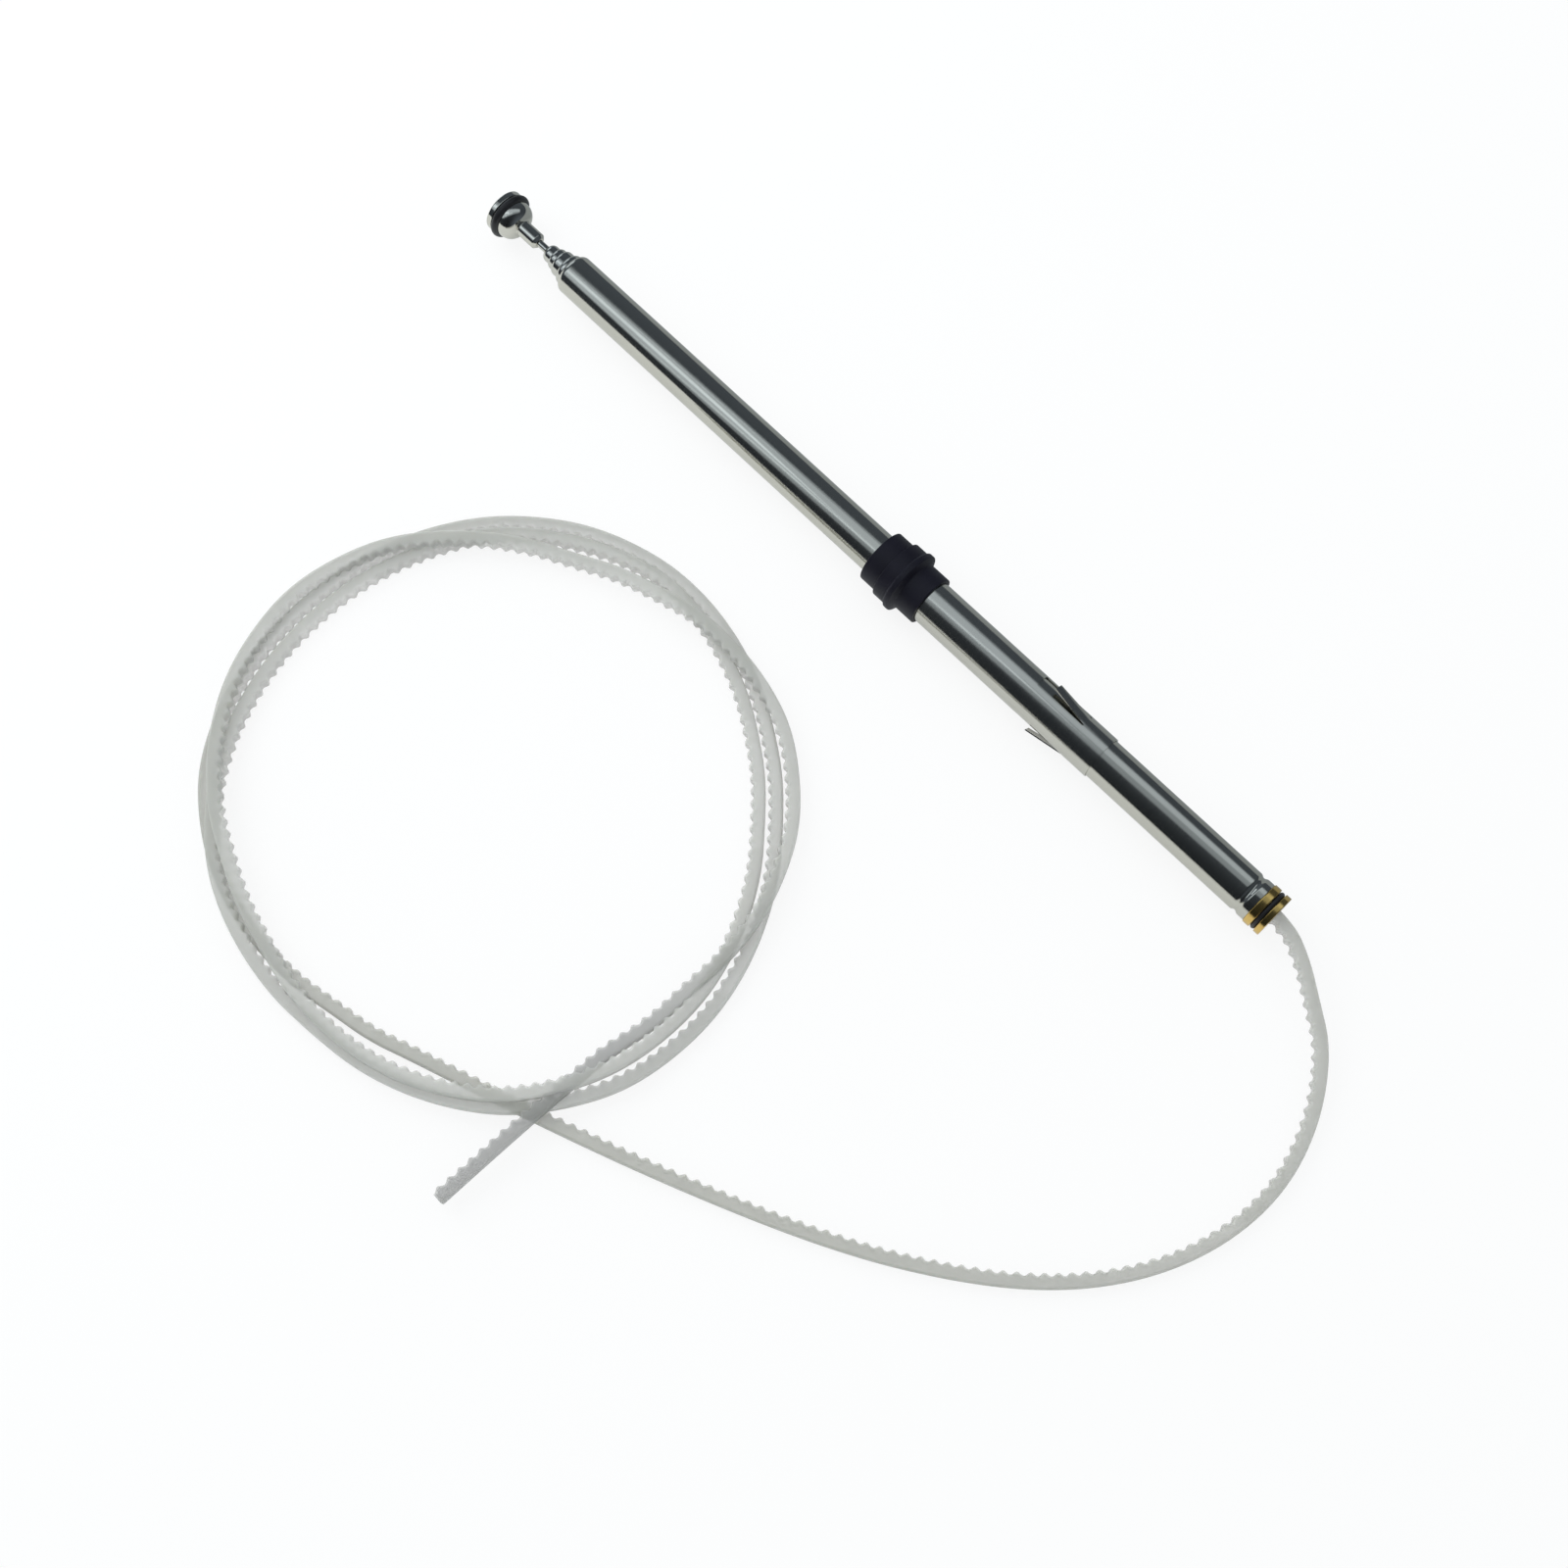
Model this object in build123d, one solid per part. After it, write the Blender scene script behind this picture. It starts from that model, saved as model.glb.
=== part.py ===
from build123d import *
from math import acos, cos, degrees, pi, radians, sin, tan
import os

# Telescopic mast of a motor-driven car aerial, pushed in, with its toothed drive cord.
# The mast lies along X, plug end at -X and tip at +X, on a surface at Z = 0.
# Stations along the mast are counted in mm from the plug's end face, and moved to the frame at the end.

# Fits
SLIDE_CLEARANCE = 0.05
SEAT_CLEARANCE = 0.02
STOP_GAP = 0.3

# Base tube, rolled in at the top and crimped on the plug
BASE_TUBE_DIAMETER = 10.0
BASE_TUBE_WALL = 0.45
BASE_TUBE_LENGTH = 215.55
BASE_ROLL_RADIUS = 1.5
CRIMP_FROM_FOOT = 2.75
CRIMP_WIDTH = 2.1
CRIMP_DEPTH = 0.4

# Brass end plug, whose rims stand proud of the tube, and its seal ring, which lies below the rims
PLUG_RIM_PROUD = 0.25
PLUG_RIM_DIAMETER = BASE_TUBE_DIAMETER + 2 * PLUG_RIM_PROUD
PLUG_LOWER_RIM = 1.4
PLUG_GROOVE_WIDTH = 1.3
PLUG_UPPER_RIM = 1.75
PLUG_RIM_CHAMFER = 0.15
PLUG_SPIGOT_LENGTH = 6.6
BASE_RING_BELOW_RIM = 0.175
BASE_RING_DIAMETER = PLUG_RIM_DIAMETER - 2 * BASE_RING_BELOW_RIM
BASE_RING_SECTION = 1.22

# Sliding sections, from the outermost in, with the split bush on each foot
SECTION_DIAMETERS = (8.0, 6.6, 5.5, 4.4)
SECTION_WALL = 0.25
SECTION_ROLL_RADII = (1.0, 1.0, 1.0, 1.4)
RIM_STEPS = (1.55, 2.3, 1.65, 2.7)
FOOT_STEP = 1.5
BUSH_LENGTH = 12.0
BUSH_LIP = 0.3
BUSH_SLOT_COUNT = 4
BUSH_SLOT_WIDTH = 0.6
BUSH_SLOT_LENGTH = 8.0

# Tip rod with its stop bush, and the ferrule that joins it to the drive cord
ROD_DIAMETER = 1.8
ROD_SHOWN = 2.8
ROD_IN_FERRULE = 6.0
STOP_BUSH_LENGTH = 10.0
FERRULE_LENGTH = 12.0
FERRULE_WALL = 0.4

# Tip button and its seal ring
NECK_DIAMETER = 4.0
NECK_LENGTH = 5.75
NECK_CHAMFER = 0.7
BELL_DIAMETER = 9.7
BELL_LENGTH = 3.55
BELL_BULGE = 0.45
TIP_GROOVE_WIDTH = 2.1
TIP_RING_DIAMETER = 11.6
TIP_RING_SECTION = 2.0
CAP_DIAMETER = 10.7
CAP_RIM = 1.4
CAP_DOME = 1.2
BUTTON_BORE_DEPTH = 9.0

# Contact sleeve on the base tube, with lanced spring fingers
SLEEVE_FOOT = 50.2
SLEEVE_LENGTH = 62.0
SLEEVE_WALL = 0.275
FINGER_TURNS = (29.5, 232.0)
FINGER_ROOT = 7.2
FINGER_LENGTH = 9.6
FINGER_ROOT_WIDTH = 3.2
FINGER_END_WIDTH = 2.2
FINGER_RISE = 1.6
WINDOW_LENGTH = 13.5
WINDOW_WIDTH = 4.6
WINDOW_CORNER = 0.6

# Rubber collar over the top of the sleeve, with how far each step stands out from the base tube
COLLAR_ON_SLEEVE = 10.1
COLLAR_FOOT = SLEEVE_FOOT + SLEEVE_LENGTH - COLLAR_ON_SLEEVE
COLLAR_SKIRT_PROUD = 1.225
COLLAR_SKIRT = 5.3
COLLAR_RIDGE_PROUD = 2.85
COLLAR_RIDGE = 2.5
COLLAR_RIDGE_BEVEL = 0.8
COLLAR_STEP_PROUD = 2.35
COLLAR_STEP = 3.2
COLLAR_TOP_PROUD = 1.625
COLLAR_TOP = 4.6
COLLAR_EDGE = 0.3

# Drive cord: a stub inside the mast, a free tail, a loose coil of three turns and a bare end
CORD_WIDTH = 3.3
CORD_CLEARANCE = 0.2
CORD_IN_PLUG = 3.0
CORD_FLOOR = 1.7
COIL_MIDDLE = (15.0, 99.4)
COIL_INNER_RADIUS = 56.0
COIL_OUTER_RADIUS = 69.6
COIL_HEIGHT = 7.0
COIL_EDGE = 2.0

# Stations and radii worked out from the sizes above
plug_head = PLUG_LOWER_RIM + PLUG_GROOVE_WIDTH + PLUG_UPPER_RIM
plug_top = plug_head + PLUG_SPIGOT_LENGTH
base_radius = BASE_TUBE_DIAMETER / 2
base_bore = base_radius - BASE_TUBE_WALL
base_rim = plug_head + BASE_TUBE_LENGTH
crimp_middle = plug_head + CRIMP_FROM_FOOT
cord_radius = CORD_WIDTH / 2
rod_radius = ROD_DIAMETER / 2
section_radii = [diameter / 2 for diameter in SECTION_DIAMETERS]
section_bores = [radius - SECTION_WALL for radius in section_radii]
section_rims = [base_rim + sum(RIM_STEPS[: i + 1]) for i in range(len(RIM_STEPS))]
section_feet = [plug_top + FOOT_STEP * (i + 1) for i in range(len(RIM_STEPS))]
cord_top = section_feet[-1] + FOOT_STEP
ferrule_top = cord_top + FERRULE_LENGTH
rod_foot = ferrule_top - ROD_IN_FERRULE
neck_foot = section_rims[-1] + ROD_SHOWN
bell_foot = neck_foot + NECK_LENGTH
groove_foot = bell_foot + BELL_LENGTH
cap_foot = groove_foot + TIP_GROOVE_WIDTH
overall_length = cap_foot + CAP_RIM + CAP_DOME
sleeve_bore = base_radius + SLIDE_CLEARANCE
sleeve_radius = sleeve_bore + SLEEVE_WALL
sleeve_top = SLEEVE_FOOT + SLEEVE_LENGTH
axis_height = base_radius + COLLAR_RIDGE_PROUD


def turned(outline):
    """Solid turned about the mast's axis from a closed outline of (station, radius) lines and arcs."""
    return revolve(make_face(outline), axis=Axis.X)


def turned_corners(*corners):
    """Solid turned about the mast's axis from the corners of its outline."""
    return turned(Polyline(*corners, close=True))


def ring(foot, top, inner_radius, outer_radius):
    """Plain tube about the mast's axis."""
    return turned_corners((foot, inner_radius), (foot, outer_radius), (top, outer_radius), (top, inner_radius))


def round_ring(middle, ring_diameter, section):
    """Ring of round section about the mast's axis."""
    return revolve(Pos(middle, (ring_diameter - section) / 2) * Circle(section / 2), axis=Axis.X)


def rolled_end(rim, outer_radius, wall, hole_radius, roll_radius):
    """Start station and edges of a tube's top, rolled in until its hole fits what slides in it."""
    roll_height = outer_radius - roll_radius
    inner_roll = roll_radius - wall
    lean = acos((hole_radius - roll_height) / inner_roll)
    start = rim - roll_radius * sin(lean)
    outer_end = (rim, roll_height + roll_radius * cos(lean))
    inner_end = (start + inner_roll * sin(lean), hole_radius)
    edges = [
        CenterArc((start, roll_height), roll_radius, 90, -degrees(lean)),
        Line(outer_end, inner_end),
        CenterArc((start, roll_height), inner_roll, 90 - degrees(lean), degrees(lean)),
    ]
    return start, edges


def plain_rolled_tube(foot, rim, outer_radius, wall, hole_radius, roll_radius):
    """Sliding section: a straight tube with a rolled top. Gives the solid and where the roll starts."""
    start, roll = rolled_end(rim, outer_radius, wall, hole_radius, roll_radius)
    bore = outer_radius - wall
    outline = [
        Line((foot, bore), (foot, outer_radius)),
        Line((foot, outer_radius), (start, outer_radius)),
        *roll,
        Line((start, bore), (foot, bore)),
    ]
    return turned(outline), start


def crimped_base_tube(hole_radius):
    """Base tube: rolled in at the top, with a crimp pressed into the plug's recess near the foot."""
    start, roll = rolled_end(base_rim, base_radius, BASE_TUBE_WALL, hole_radius, BASE_ROLL_RADIUS)
    crimp_foot = crimp_middle - CRIMP_WIDTH / 2
    crimp_top = crimp_middle + CRIMP_WIDTH / 2

    def crimp(first, last, radius):
        return ThreePointArc((first, radius), (crimp_middle, radius - CRIMP_DEPTH), (last, radius))

    outline = [
        Line((plug_head, base_bore), (plug_head, base_radius)),
        Line((plug_head, base_radius), (crimp_foot, base_radius)),
        crimp(crimp_foot, crimp_top, base_radius),
        Line((crimp_top, base_radius), (start, base_radius)),
        *roll,
        Line((start, base_bore), (crimp_top, base_bore)),
        crimp(crimp_top, crimp_foot, base_bore),
        Line((crimp_foot, base_bore), (plug_head, base_bore)),
    ]
    return turned(outline), start


def end_plug():
    """Turned brass plug: two rims with a ring groove between, and a spigot with a recess for the crimp."""
    rim = PLUG_RIM_DIAMETER / 2
    groove = BASE_RING_DIAMETER / 2 - BASE_RING_SECTION - SLIDE_CLEARANCE
    groove_top = PLUG_LOWER_RIM + PLUG_GROOVE_WIDTH
    spigot = base_bore - SLIDE_CLEARANCE
    recess = spigot - CRIMP_DEPTH - SLIDE_CLEARANCE
    recess_half = CRIMP_WIDTH / 2 + SLIDE_CLEARANCE
    bore = cord_radius + CORD_CLEARANCE
    plug = turned_corners(
        (0, bore),
        (0, rim),
        (PLUG_LOWER_RIM, rim),
        (PLUG_LOWER_RIM, groove),
        (groove_top, groove),
        (groove_top, rim),
        (plug_head, rim),
        (plug_head, spigot),
        (crimp_middle - recess_half, spigot),
        (crimp_middle - recess_half, recess),
        (crimp_middle + recess_half, recess),
        (crimp_middle + recess_half, spigot),
        (plug_top, spigot),
        (plug_top, bore),
    )
    rim_edges = [edge for edge in plug.edges().filter_by(GeomType.CIRCLE) if abs(edge.radius - rim) < 1e-6]
    return chamfer(rim_edges, PLUG_RIM_CHAMFER)


def split_bush(foot, tube_bore, tube_radius, outer_bore):
    """Brass contact bush on a section's foot: a lip under the tube, and spring leaves cut from its top."""
    bore = tube_radius + SEAT_CLEARANCE
    outer = outer_bore - SLIDE_CLEARANCE
    lip_foot = foot - BUSH_LIP
    top = foot + BUSH_LENGTH
    bush = turned_corners(
        (lip_foot, tube_bore),
        (lip_foot, outer),
        (top, outer),
        (top, bore),
        (foot, bore),
        (foot, tube_bore),
    )
    slot = Pos(top - BUSH_SLOT_LENGTH / 2, 0, outer) * Box(BUSH_SLOT_LENGTH, BUSH_SLOT_WIDTH, 2 * (outer - tube_bore))
    for i in range(BUSH_SLOT_COUNT):
        bush -= Rot(360 / BUSH_SLOT_COUNT * i, 0, 0) * slot
    return bush


def tip_cap():
    """Turned tip button: chamfered neck, bell, ring groove and domed cap, bored for the rod."""
    neck = NECK_DIAMETER / 2
    bell = BELL_DIAMETER / 2
    cap = CAP_DIAMETER / 2
    groove = TIP_RING_DIAMETER / 2 - TIP_RING_SECTION - SLIDE_CLEARANCE
    bore = rod_radius + SEAT_CLEARANCE
    bore_end = neck_foot + BUTTON_BORE_DEPTH
    dome_foot = cap_foot + CAP_RIM
    dome_radius = (cap**2 + CAP_DOME**2) / (2 * CAP_DOME)
    bell_middle = (bell_foot + BELL_LENGTH / 2 - BELL_BULGE / 2, (neck + bell) / 2 + BELL_BULGE)
    outline = [
        Polyline(
            (bore_end, 0),
            (bore_end, bore),
            (neck_foot, bore),
            (neck_foot, neck - NECK_CHAMFER),
            (neck_foot + NECK_CHAMFER, neck),
            (bell_foot, neck),
        ),
        ThreePointArc((bell_foot, neck), bell_middle, (groove_foot, bell)),
        Polyline(
            (groove_foot, bell),
            (groove_foot, groove),
            (cap_foot, groove),
            (cap_foot, cap),
            (dome_foot, cap),
        ),
        RadiusArc((dome_foot, cap), (overall_length, 0), dome_radius),
        Line((overall_length, 0), (bore_end, 0)),
    ]
    return turned(outline)


def fingered_sleeve():
    """Contact sleeve: a thin tube with windows, each holding a spring finger lanced from its wall."""
    sleeve = ring(SLEEVE_FOOT, sleeve_top, sleeve_bore, sleeve_radius)
    root = SLEEVE_FOOT + FINGER_ROOT
    end = root + FINGER_LENGTH
    reach = 2 * (sleeve_radius + FINGER_RISE)
    window = Pos(root + WINDOW_LENGTH / 2, 0, 0) * RectangleRounded(WINDOW_LENGTH, WINDOW_WIDTH, WINDOW_CORNER)
    flared = turned_corners(
        (root, sleeve_bore),
        (root, sleeve_radius),
        (end, sleeve_radius + FINGER_RISE),
        (end, sleeve_bore + FINGER_RISE),
    )
    blank = Polyline(
        (root, -FINGER_ROOT_WIDTH / 2),
        (end, -FINGER_END_WIDTH / 2),
        (end, FINGER_END_WIDTH / 2),
        (root, FINGER_ROOT_WIDTH / 2),
        close=True,
    )
    finger = flared & extrude(make_face(blank), amount=reach)
    for angle in FINGER_TURNS:
        turn = Rot(angle, 0, 0)
        sleeve -= turn * extrude(window, amount=reach)
        sleeve += turn * finger
    return sleeve


def stepped_collar():
    """Moulded rubber collar: skirt, ridge, step and top, sealing on the tube above the sleeve's end."""
    skirt = base_radius + COLLAR_SKIRT_PROUD
    ridge = base_radius + COLLAR_RIDGE_PROUD
    step = base_radius + COLLAR_STEP_PROUD
    top = base_radius + COLLAR_TOP_PROUD
    ridge_foot = COLLAR_FOOT + COLLAR_SKIRT
    step_foot = ridge_foot + COLLAR_RIDGE
    top_foot = step_foot + COLLAR_STEP
    top_end = top_foot + COLLAR_TOP
    sleeve_seat = sleeve_radius + SEAT_CLEARANCE
    return turned_corners(
        (COLLAR_FOOT, sleeve_seat),
        (COLLAR_FOOT, skirt - COLLAR_EDGE),
        (COLLAR_FOOT + COLLAR_EDGE, skirt),
        (ridge_foot, skirt),
        (ridge_foot + COLLAR_RIDGE_BEVEL, ridge),
        (step_foot - (ridge - step), ridge),
        (step_foot, step),
        (top_foot - COLLAR_EDGE, step),
        (top_foot, step - COLLAR_EDGE),
        (top_foot, top),
        (top_end - COLLAR_EDGE, top),
        (top_end, top - COLLAR_EDGE),
        (top_end, sleeve_bore),
        (sleeve_top, sleeve_bore),
        (sleeve_top, sleeve_seat),
    )


def cord_tube(points):
    """Plain cord along straight runs joined by arcs as large as the runs allow, with its radii printed."""
    route = [Vector(*point) for point in points]
    radii = []
    for before, corner, after in zip(route, route[1:], route[2:]):
        turn = radians((corner - before).get_angle(after - corner))
        shorter = min((corner - before).length, (after - corner).length)
        radii.append(0.45 * shorter / tan(turn / 2))
    path = FilletPolyline(*route, radius=radii)
    tube = sweep(Plane(path @ 0, z_dir=path % 0) * Circle(cord_radius), path=path)
    print("cord radii", [round(radius, 1) for radius in radii], "length", round(path.length, 1))
    print("cord volume over section times length", round(tube.volume / (pi * cord_radius**2 * path.length), 4))
    return tube


def coil_solid():
    """Outer shape of the cord's three loose turns, as one ring lying on the surface."""
    width = COIL_OUTER_RADIUS - COIL_INNER_RADIUS
    middle = (COIL_OUTER_RADIUS + COIL_INNER_RADIUS) / 2
    section = Plane.XZ * Pos(middle, COIL_HEIGHT / 2) * RectangleRounded(width, COIL_HEIGHT, COIL_EDGE)
    return Pos(*COIL_MIDDLE, 0) * revolve(section, axis=Axis.Z)


# Turned and rolled pieces, still at their stations
slide_holes = [radius + SLIDE_CLEARANCE for radius in section_radii[1:] + [rod_radius]]
outer_bores = [base_bore] + section_bores[:-1]
base_tube, base_roll_start = crimped_base_tube(section_radii[0] + SLIDE_CLEARANCE)
mast = {
    "base_tube": base_tube,
    "base_plug": end_plug(),
    "base_seal_ring": round_ring(PLUG_LOWER_RIM + PLUG_GROOVE_WIDTH / 2, BASE_RING_DIAMETER, BASE_RING_SECTION),
    "contact_sleeve": fingered_sleeve(),
    "rubber_collar": stepped_collar(),
}
roll_starts = [base_roll_start]
for i, radius in enumerate(section_radii):
    name = f"section_{i + 1}"
    foot = section_feet[i]
    tube, roll_start = plain_rolled_tube(
        foot, section_rims[i], radius, SECTION_WALL, slide_holes[i], SECTION_ROLL_RADII[i]
    )
    mast[name] = tube
    mast[name + "_bush"] = split_bush(foot, section_bores[i], radius, outer_bores[i])
    roll_starts.append(roll_start)

# Rod with what is fixed to it
stop_bush_top = ferrule_top + STOP_BUSH_LENGTH
stop_bush_radius = section_bores[-1] - SLIDE_CLEARANCE
ferrule_bore = stop_bush_radius - FERRULE_WALL
mast["tip_rod"] = ring(rod_foot, neck_foot + BUTTON_BORE_DEPTH, 0, rod_radius)
mast["rod_stop_bush"] = ring(ferrule_top, stop_bush_top, rod_radius + SEAT_CLEARANCE, stop_bush_radius)
mast["cord_ferrule"] = turned_corners(
    (cord_top, ferrule_bore),
    (cord_top, stop_bush_radius),
    (ferrule_top, stop_bush_radius),
    (ferrule_top, rod_radius + SEAT_CLEARANCE),
    (rod_foot, rod_radius + SEAT_CLEARANCE),
    (rod_foot, ferrule_bore),
)
mast["drive_cord_inner"] = turned_corners(
    (CORD_IN_PLUG, 0),
    (CORD_IN_PLUG, cord_radius - SLIDE_CLEARANCE),
    (cord_top, cord_radius - SLIDE_CLEARANCE),
    (cord_top, ferrule_bore - SEAT_CLEARANCE),
    (rod_foot, ferrule_bore - SEAT_CLEARANCE),
    (rod_foot, 0),
)
mast["tip_button"] = tip_cap()
mast["tip_seal_ring"] = round_ring(groove_foot + TIP_GROOVE_WIDTH / 2, TIP_RING_DIAMETER, TIP_RING_SECTION)

# Travel of each sliding fit, from the bush's top to the start of the roll that stops it
bush_tops = [foot + BUSH_LENGTH for foot in section_feet] + [stop_bush_top]
travels = [start - top - STOP_GAP for start, top in zip(roll_starts, bush_tops)]
print("overall length", round(overall_length, 3))
print("travels", [round(travel, 2) for travel in travels])
collar_end = COLLAR_FOOT + COLLAR_SKIRT + COLLAR_RIDGE + COLLAR_STEP + COLLAR_TOP
print("sleeve travel", round(plug_head + STOP_GAP - SLEEVE_FOOT, 2), round(base_roll_start - STOP_GAP - collar_end, 2))

# The mast is centred over the origin and rests on the collar's ridge
place = Pos(-overall_length / 2, 0, axis_height)
pieces = {name: place * solid for name, solid in mast.items()}

# Free cord, laid by hand: out of the plug, down to the surface, round the tail and under the coil
plug_end = -overall_length / 2
TAIL_ROUTE = (
    (plug_end + CORD_IN_PLUG, 0, axis_height),
    (-126.0, 0, axis_height),
    (-133.0, 3.2, 7.3),
    (-139.6, 7.5, 6.1),
    (-149.0, 13.5, 3.8),
    (-157.5, 26.6, 2.2),
    (-161.4, 42.0, CORD_FLOOR),
    (-159.5, 58.8, CORD_FLOOR),
    (-152.5, 74.8, CORD_FLOOR),
    (-140.6, 89.6, CORD_FLOOR),
    (-123.8, 102.9, CORD_FLOOR),
    (-102.8, 115.3, CORD_FLOOR),
    (-71.4, 129.2, CORD_FLOOR),
    (-40.2, 141.0, CORD_FLOOR),
)
END_ROUTE = (
    (-42.9, 123.0, 5.0),
    (-42.1, 138.0, 5.6),
    (-41.3, 152.5, 3.9),
    (-40.7, 166.4, CORD_FLOOR),
)
pieces["drive_cord_tail"] = cord_tube(TAIL_ROUTE)
pieces["drive_cord_coil"] = coil_solid()
pieces["drive_cord_end"] = cord_tube(END_ROUTE)

os.makedirs("parts", exist_ok=True)
for name, solid in pieces.items():
    export_step(solid, f"parts/{name}.step")
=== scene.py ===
import math

import bmesh
import bpy
from mathutils import Matrix, Vector


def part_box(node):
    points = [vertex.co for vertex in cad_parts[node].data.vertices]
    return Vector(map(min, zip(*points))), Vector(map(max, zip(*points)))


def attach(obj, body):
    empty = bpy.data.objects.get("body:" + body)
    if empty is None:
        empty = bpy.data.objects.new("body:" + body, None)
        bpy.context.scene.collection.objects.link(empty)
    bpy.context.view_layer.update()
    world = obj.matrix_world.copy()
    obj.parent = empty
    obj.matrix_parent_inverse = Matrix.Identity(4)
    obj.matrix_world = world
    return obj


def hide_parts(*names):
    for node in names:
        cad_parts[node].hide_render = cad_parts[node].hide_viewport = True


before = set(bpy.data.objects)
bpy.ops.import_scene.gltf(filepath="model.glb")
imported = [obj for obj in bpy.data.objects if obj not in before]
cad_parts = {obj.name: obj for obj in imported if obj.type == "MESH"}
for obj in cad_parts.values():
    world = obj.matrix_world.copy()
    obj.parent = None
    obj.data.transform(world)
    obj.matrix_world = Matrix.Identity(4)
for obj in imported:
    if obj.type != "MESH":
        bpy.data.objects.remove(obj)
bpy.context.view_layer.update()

# Base tube
# The thin drawn tube that carries the mast, plated bright and polished on a wheel. Its top is rolled in
# to stop the first section, and its foot is crimped into the recess of the end plug.
MM = 0.001
TURNED_SEGMENTS = 128
POLE_MERGE = 1e-7
EASE_STEPS = 6
PROP = 0.08
SHARP_EDGE = math.radians(32)
BASE_WALL = 0.45
BASE_ROLL = 1.5
ROLL_LIP = 0.12
CRIMP_FROM_FOOT = 2.75
CRIMP_WIDTH = 2.1
CRIMP_DEPTH = 0.4
CRIMP_STEPS = 16
TUBE_EASE = 0.15
SLIDE_GAP = 0.05

tube_low, tube_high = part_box("base_tube")
AXIS_HEIGHT = (tube_low.z + tube_high.z) / 2


def span(node):
    """Foot, top and radius of a turned CAD node, in millimetres."""
    low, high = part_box(node)
    return low.x / MM, high.x / MM, (high.z - low.z) / 2 / MM


def arc(middle, radius, first, last, steps=12):
    """Plain outline corners along an arc, with its angles in degrees from the axis towards the outside."""
    corners = []
    for step in range(steps + 1):
        angle = math.radians(first + (last - first) * step / steps)
        corners.append((middle[0] + radius * math.cos(angle), middle[1] + radius * math.sin(angle), 0))
    return corners


def eased(corners):
    """Outline with each (station, radius, ease) corner rounded over that length of its two runs."""
    points = []
    for i, (station, radius, ease) in enumerate(corners):
        corner = Vector((station, radius))
        if not ease:
            points.append(corner)
            continue
        before = Vector(corners[i - 1][:2]) - corner
        after = Vector(corners[(i + 1) % len(corners)][:2]) - corner
        start = corner + before.normalized() * ease
        end = corner + after.normalized() * ease
        for step in range(EASE_STEPS + 1):
            share = step / EASE_STEPS
            points.append(start.lerp(corner, share).lerp(corner.lerp(end, share), share))
    return points


def propped(outline):
    """Outline with a point close to each end of its long runs, so that shading stays flat along them."""
    points = []
    for i, point in enumerate(outline):
        run = outline[(i + 1) % len(outline)] - point
        points.append(point)
        if run.length > 4 * PROP:
            points.append(point + run.normalized() * PROP)
            points.append(point + run - run.normalized() * PROP)
    return points


def as_piece(name, mesh, material):
    """Object of a finished mesh, smooth but for its sharp edges."""
    mesh.polygons.foreach_set("use_smooth", [True] * len(mesh.polygons))
    mesh.set_sharp_from_angle(angle=SHARP_EDGE)
    mesh.materials.clear()
    mesh.materials.append(material)
    piece = bpy.data.objects.new(name, mesh)
    bpy.context.scene.collection.objects.link(piece)
    return piece


def turned(name, corners, material):
    """Closed piece turned about the mast's axis from its outline's corners, in millimetres."""
    outline = propped(eased(corners))
    form = bmesh.new()
    rings = []
    for station, radius in outline:
        ring = []
        for i in range(TURNED_SEGMENTS):
            angle = math.tau * i / TURNED_SEGMENTS
            across = Vector((station, radius * math.sin(angle), radius * math.cos(angle)))
            ring.append(form.verts.new(across * MM + Vector((0, 0, AXIS_HEIGHT))))
        rings.append(ring)
    for i, ring in enumerate(rings):
        after = rings[(i + 1) % len(rings)]
        for j in range(TURNED_SEGMENTS):
            k = (j + 1) % TURNED_SEGMENTS
            form.faces.new((ring[j], ring[k], after[k], after[j]))
    bmesh.ops.remove_doubles(form, verts=form.verts, dist=POLE_MERGE)
    bmesh.ops.recalc_face_normals(form, faces=form.faces)
    mesh = bpy.data.meshes.new(name)
    form.to_mesh(mesh)
    form.free()
    return as_piece(name, mesh, material)


class Wire:
    """An output of a node. Plain maths on wires and numbers adds the Math nodes that do it."""

    def __init__(self, tree, socket):
        self.tree = tree
        self.socket = socket

    def out(self, name):
        return Wire(self.tree, self.socket.node.outputs[name])

    def maths(self, operation, *terms):
        return self.tree.node("ShaderNodeMath", {"operation": operation}, dict(enumerate(terms)))

    def __add__(self, other):
        return self.maths("ADD", self, other)

    def __sub__(self, other):
        return self.maths("SUBTRACT", self, other)

    def __rsub__(self, other):
        return self.maths("SUBTRACT", other, self)

    def __mul__(self, other):
        return self.maths("MULTIPLY", self, other)

    def __truediv__(self, other):
        return self.maths("DIVIDE", self, other)

    def __pow__(self, other):
        return self.maths("POWER", self, other)

    __radd__ = __add__
    __rmul__ = __mul__


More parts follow.
